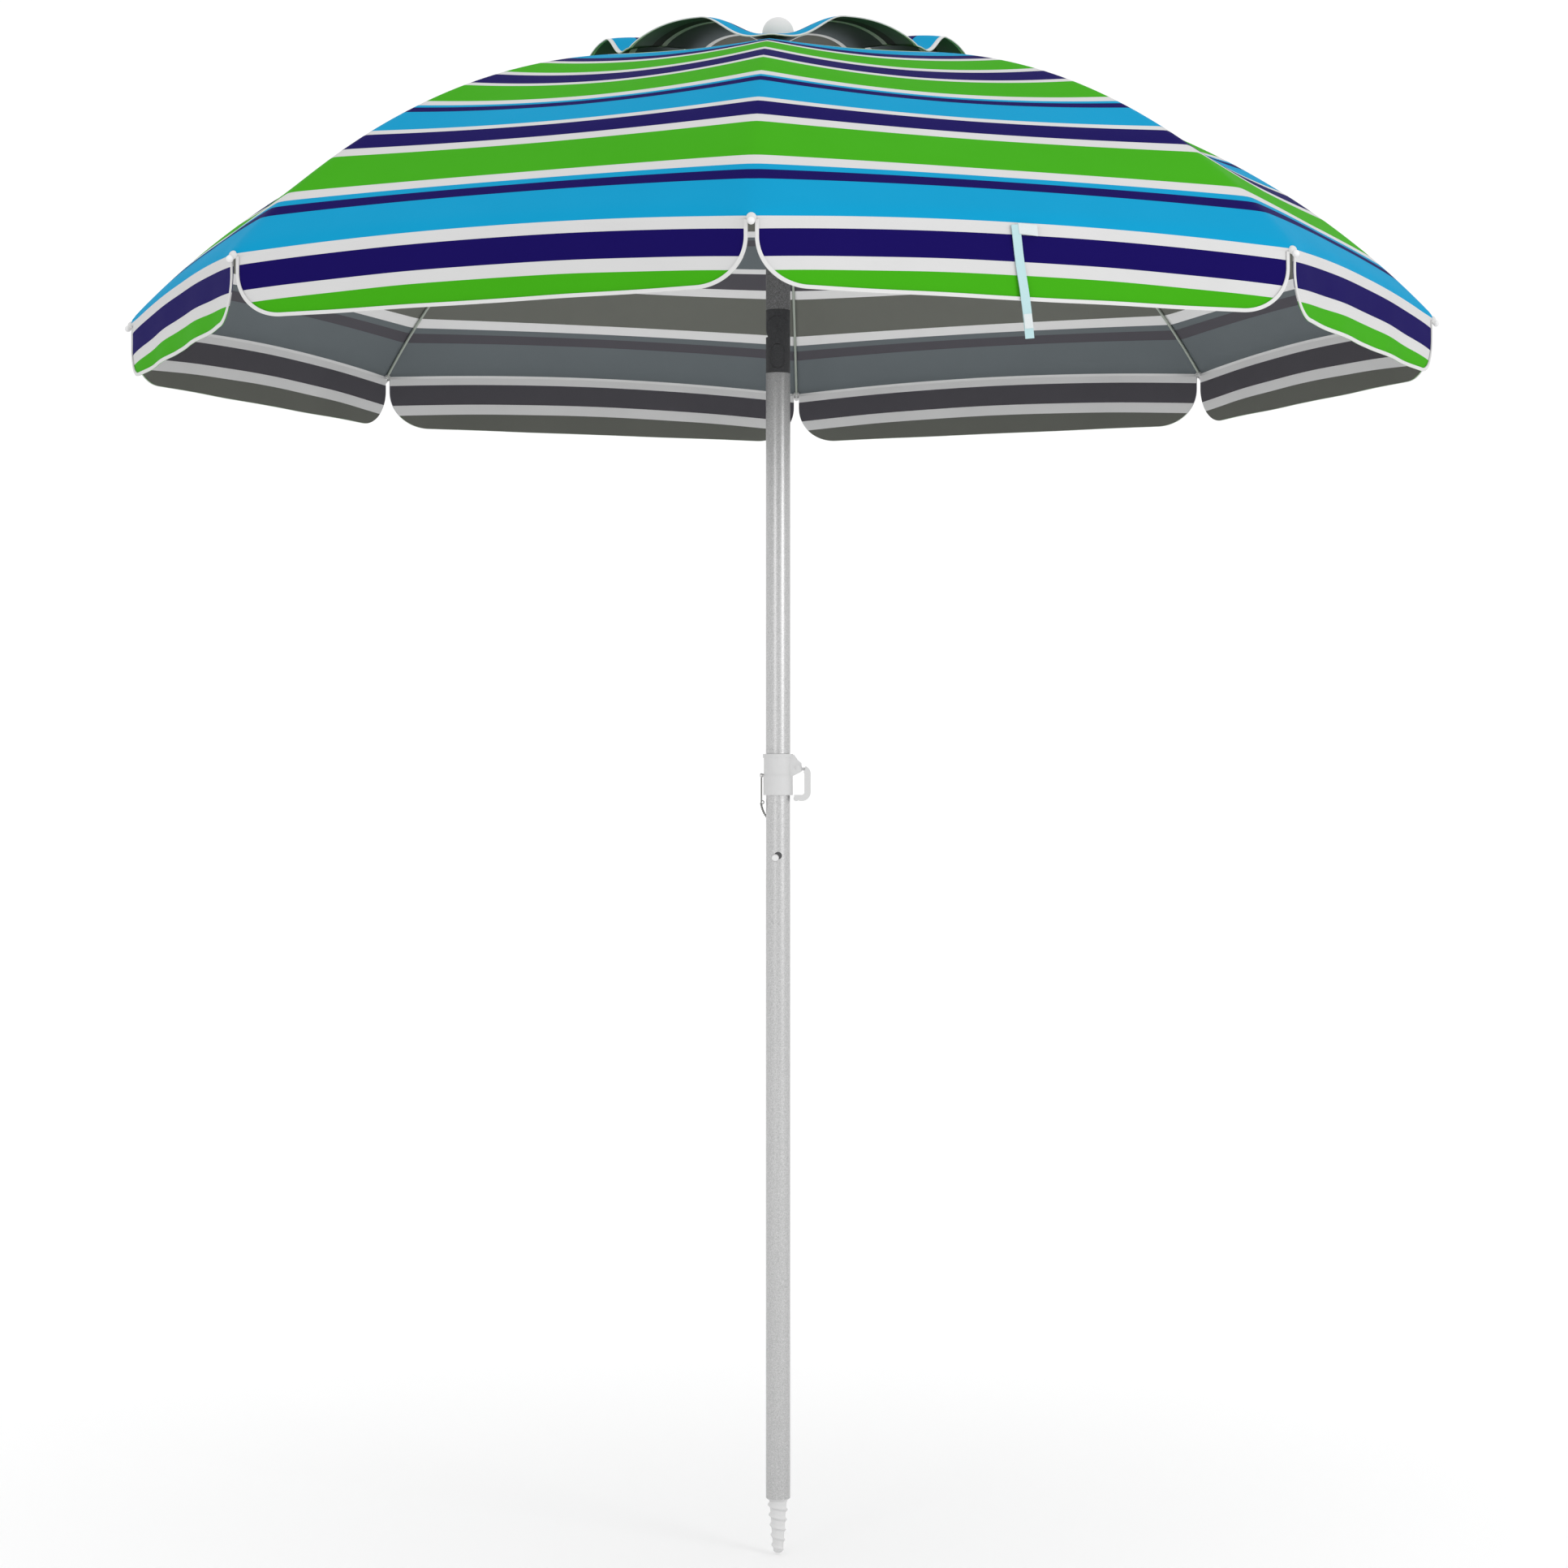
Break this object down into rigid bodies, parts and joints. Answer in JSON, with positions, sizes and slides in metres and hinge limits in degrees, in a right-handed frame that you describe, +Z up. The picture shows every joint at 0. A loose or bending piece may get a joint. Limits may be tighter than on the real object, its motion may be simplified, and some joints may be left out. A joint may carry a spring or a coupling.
{
  "type": "beach umbrella",
  "caption": "Vented fabric shade on folding ribs and a telescopic pole with tilt joint, clamp collar and screw spike.",
  "frame": {"origin": "on the pole's axis at the lower tube's foot, where the spike begins", "axes": "+Z up along the pole, the first rib and the tilt button face -Y, the clamp lever faces +X"},
  "size_m": [1.7284, 1.7284, 2.017],
  "materials": {
    "pole_metal": "silver hammered powder coat",
    "insert_metal": "plain steel tube",
    "mast_metal": "dark hammered powder coat",
    "pale_plastic": "satin moulded plastic",
    "black_plastic": "satin moulded plastic",
    "bright_steel": "bright plated steel",
    "rib_steel": "pale grey-green paint",
    "canopy_fabric": "printed woven polyester in cyan, navy, green and white stripes",
    "strap_fabric": "pale aqua woven tape"
  },
  "bodies": {
    "lower_pole": {"lower_tube": "pole_metal", "ground_spike": "pale_plastic", "collar": "pale_plastic", "lever_pin": "pale_plastic", "pin_chain": "bright_steel"},
    "clamp_lever": {"clamp_lever": "pale_plastic"},
    "locking_pin": {"locking_pin": "bright_steel"},
    "upper_pole": {"upper_tube": "pole_metal", "insert_tube": "insert_metal", "tilt_socket": "black_plastic", "tilt_pivot": "bright_steel", "tilt_spring": "bright_steel"},
    "snap_button": {"snap_button": "pale_plastic"},
    "tilt_button": {"tilt_button": "black_plastic"},
    "mast": {"tilt_knuckle": "black_plastic", "mast_tube": "mast_metal", "hub": "black_plastic", "hub_wire": "bright_steel", "finial": "pale_plastic", "runner_catch": "bright_steel"},
    "runner": {"runner": "black_plastic", "runner_wire": "bright_steel"},
    "rib_1": {"rib_1": "rib_steel", "rib_tip_1": "pale_plastic", "canopy_gore_1": "canopy_fabric", "tie_strap": "strap_fabric"},
    "stretcher_1": {"stretcher_1": "rib_steel"},
    "rib_2": {"rib_2": "rib_steel", "rib_tip_2": "pale_plastic", "canopy_gore_2": "canopy_fabric"},
    "stretcher_2": {"stretcher_2": "rib_steel"},
    "rib_3": {"rib_3": "rib_steel", "rib_tip_3": "pale_plastic", "canopy_gore_3": "canopy_fabric"},
    "stretcher_3": {"stretcher_3": "rib_steel"},
    "rib_4": {"rib_4": "rib_steel", "rib_tip_4": "pale_plastic", "canopy_gore_4": "canopy_fabric"},
    "stretcher_4": {"stretcher_4": "rib_steel"},
    "rib_5": {"rib_5": "rib_steel", "rib_tip_5": "pale_plastic", "canopy_gore_5": "canopy_fabric"},
    "stretcher_5": {"stretcher_5": "rib_steel"},
    "rib_6": {"rib_6": "rib_steel", "rib_tip_6": "pale_plastic", "canopy_gore_6": "canopy_fabric"},
    "stretcher_6": {"stretcher_6": "rib_steel"},
    "rib_7": {"rib_7": "rib_steel", "rib_tip_7": "pale_plastic", "canopy_gore_7": "canopy_fabric"},
    "stretcher_7": {"stretcher_7": "rib_steel"},
    "rib_8": {"rib_8": "rib_steel", "rib_tip_8": "pale_plastic", "canopy_gore_8": "canopy_fabric"},
    "stretcher_8": {"stretcher_8": "rib_steel"}
  },
  "joints": [
    {"name": "height", "type": "slide", "parent": "lower_pole", "child": "upper_pole", "axis": [0, 0, 1], "range_m": [0, 0.3], "deforming": ["snap_button"]},
    {"name": "lever_swing", "type": "hinge", "parent": "lower_pole", "child": "clamp_lever", "pos_m": [0.0262, 0, 0.9597], "axis": [0, -1, 0], "range_deg": [0, 80]},
    {"name": "pin_pull", "type": "slide", "parent": "lower_pole", "child": "locking_pin", "axis": [-1, 0, 0], "range_m": [0, 0.012], "deforming": ["pin_chain"]},
    {"name": "snap_press", "type": "slide", "parent": "upper_pole", "child": "snap_button", "axis": [0, 1, 0], "range_m": [0, 0.0035], "stiffness_N_per_m": 1200, "springref_m": -0.001, "deforming": ["snap_button"]},
    {"name": "tilt_press", "type": "slide", "parent": "upper_pole", "child": "tilt_button", "axis": [0, 1, 0], "range_m": [0, 0.0025], "stiffness_N_per_m": 1500, "springref_m": -0.001, "deforming": ["tilt_spring"]},
    {"name": "tilt", "type": "hinge", "parent": "upper_pole", "child": "mast", "pos_m": [0, 0, 1.535], "axis": [0, 1, 0], "range_deg": [-40, 0]},
    {"name": "rib_1_fold", "type": "hinge", "parent": "mast", "child": "rib_1", "pos_m": [0, -0.024, 1.868], "axis": [1, 0, 0], "range_deg": [0, 66], "deforming": ["canopy_gore_1", "canopy_gore_2", "canopy_gore_3", "canopy_gore_4", "canopy_gore_5", "canopy_gore_6", "canopy_gore_7", "canopy_gore_8", "tie_strap", "runner_catch"]},
    {"name": "stretcher_1_fold", "type": "hinge", "parent": "rib_1", "child": "stretcher_1", "pos_m": [0, -0.44304, 1.80257], "axis": [1, 0, 0], "range_deg": [-132, 0]},
    {"name": "rib_2_fold", "type": "hinge", "parent": "mast", "child": "rib_2", "pos_m": [0.01697, -0.01697, 1.868], "axis": [0.7071, 0.7071, 0], "range_deg": [0, 66]},
    {"name": "stretcher_2_fold", "type": "hinge", "parent": "rib_2", "child": "stretcher_2", "pos_m": [0.31327, -0.31327, 1.80257], "axis": [0.7071, 0.7071, 0], "range_deg": [-132, 0]},
    {"name": "rib_3_fold", "type": "hinge", "parent": "mast", "child": "rib_3", "pos_m": [0.024, 0, 1.868], "axis": [0, 1, 0], "range_deg": [0, 66]},
    {"name": "stretcher_3_fold", "type": "hinge", "parent": "rib_3", "child": "stretcher_3", "pos_m": [0.44304, 0, 1.80257], "axis": [0, 1, 0], "range_deg": [-132, 0]},
    {"name": "rib_4_fold", "type": "hinge", "parent": "mast", "child": "rib_4", "pos_m": [0.01697, 0.01697, 1.868], "axis": [-0.7071, 0.7071, 0], "range_deg": [0, 66]},
    {"name": "stretcher_4_fold", "type": "hinge", "parent": "rib_4", "child": "stretcher_4", "pos_m": [0.31327, 0.31327, 1.80257], "axis": [-0.7071, 0.7071, 0], "range_deg": [-132, 0]},
    {"name": "rib_5_fold", "type": "hinge", "parent": "mast", "child": "rib_5", "pos_m": [0, 0.024, 1.868], "axis": [-1, 0, 0], "range_deg": [0, 66]},
    {"name": "stretcher_5_fold", "type": "hinge", "parent": "rib_5", "child": "stretcher_5", "pos_m": [0, 0.44304, 1.80257], "axis": [-1, 0, 0], "range_deg": [-132, 0]},
    {"name": "rib_6_fold", "type": "hinge", "parent": "mast", "child": "rib_6", "pos_m": [-0.01697, 0.01697, 1.868], "axis": [-0.7071, -0.7071, 0], "range_deg": [0, 66]},
    {"name": "stretcher_6_fold", "type": "hinge", "parent": "rib_6", "child": "stretcher_6", "pos_m": [-0.31327, 0.31327, 1.80257], "axis": [-0.7071, -0.7071, 0], "range_deg": [-132, 0]},
    {"name": "rib_7_fold", "type": "hinge", "parent": "mast", "child": "rib_7", "pos_m": [-0.024, 0, 1.868], "axis": [0, -1, 0], "range_deg": [0, 66]},
    {"name": "stretcher_7_fold", "type": "hinge", "parent": "rib_7", "child": "stretcher_7", "pos_m": [-0.44304, 0, 1.80257], "axis": [0, -1, 0], "range_deg": [-132, 0]},
    {"name": "rib_8_fold", "type": "hinge", "parent": "mast", "child": "rib_8", "pos_m": [-0.01697, -0.01697, 1.868], "axis": [0.7071, -0.7071, 0], "range_deg": [0, 66]},
    {"name": "stretcher_8_fold", "type": "hinge", "parent": "rib_8", "child": "stretcher_8", "pos_m": [-0.31327, -0.31327, 1.80257], "axis": [0.7071, -0.7071, 0], "range_deg": [-132, 0]},
    {"name": "runner_turn", "type": "hinge", "parent": "stretcher_1", "child": "runner", "pos_m": [0, -0.024, 1.73714], "axis": [1, 0, 0], "range_deg": [0, 66]}
  ],
  "couplings": [
    {"joint": "stretcher_1_fold", "follows": "rib_1_fold", "ratio": -2},
    {"joint": "rib_2_fold", "follows": "rib_1_fold", "ratio": 1},
    {"joint": "stretcher_2_fold", "follows": "rib_1_fold", "ratio": -2},
    {"joint": "rib_3_fold", "follows": "rib_1_fold", "ratio": 1},
    {"joint": "stretcher_3_fold", "follows": "rib_1_fold", "ratio": -2},
    {"joint": "rib_4_fold", "follows": "rib_1_fold", "ratio": 1},
    {"joint": "stretcher_4_fold", "follows": "rib_1_fold", "ratio": -2},
    {"joint": "rib_5_fold", "follows": "rib_1_fold", "ratio": 1},
    {"joint": "stretcher_5_fold", "follows": "rib_1_fold", "ratio": -2},
    {"joint": "rib_6_fold", "follows": "rib_1_fold", "ratio": 1},
    {"joint": "stretcher_6_fold", "follows": "rib_1_fold", "ratio": -2},
    {"joint": "rib_7_fold", "follows": "rib_1_fold", "ratio": 1},
    {"joint": "stretcher_7_fold", "follows": "rib_1_fold", "ratio": -2},
    {"joint": "rib_8_fold", "follows": "rib_1_fold", "ratio": 1},
    {"joint": "stretcher_8_fold", "follows": "rib_1_fold", "ratio": -2},
    {"joint": "runner_turn", "follows": "rib_1_fold", "ratio": 1}
  ]
}
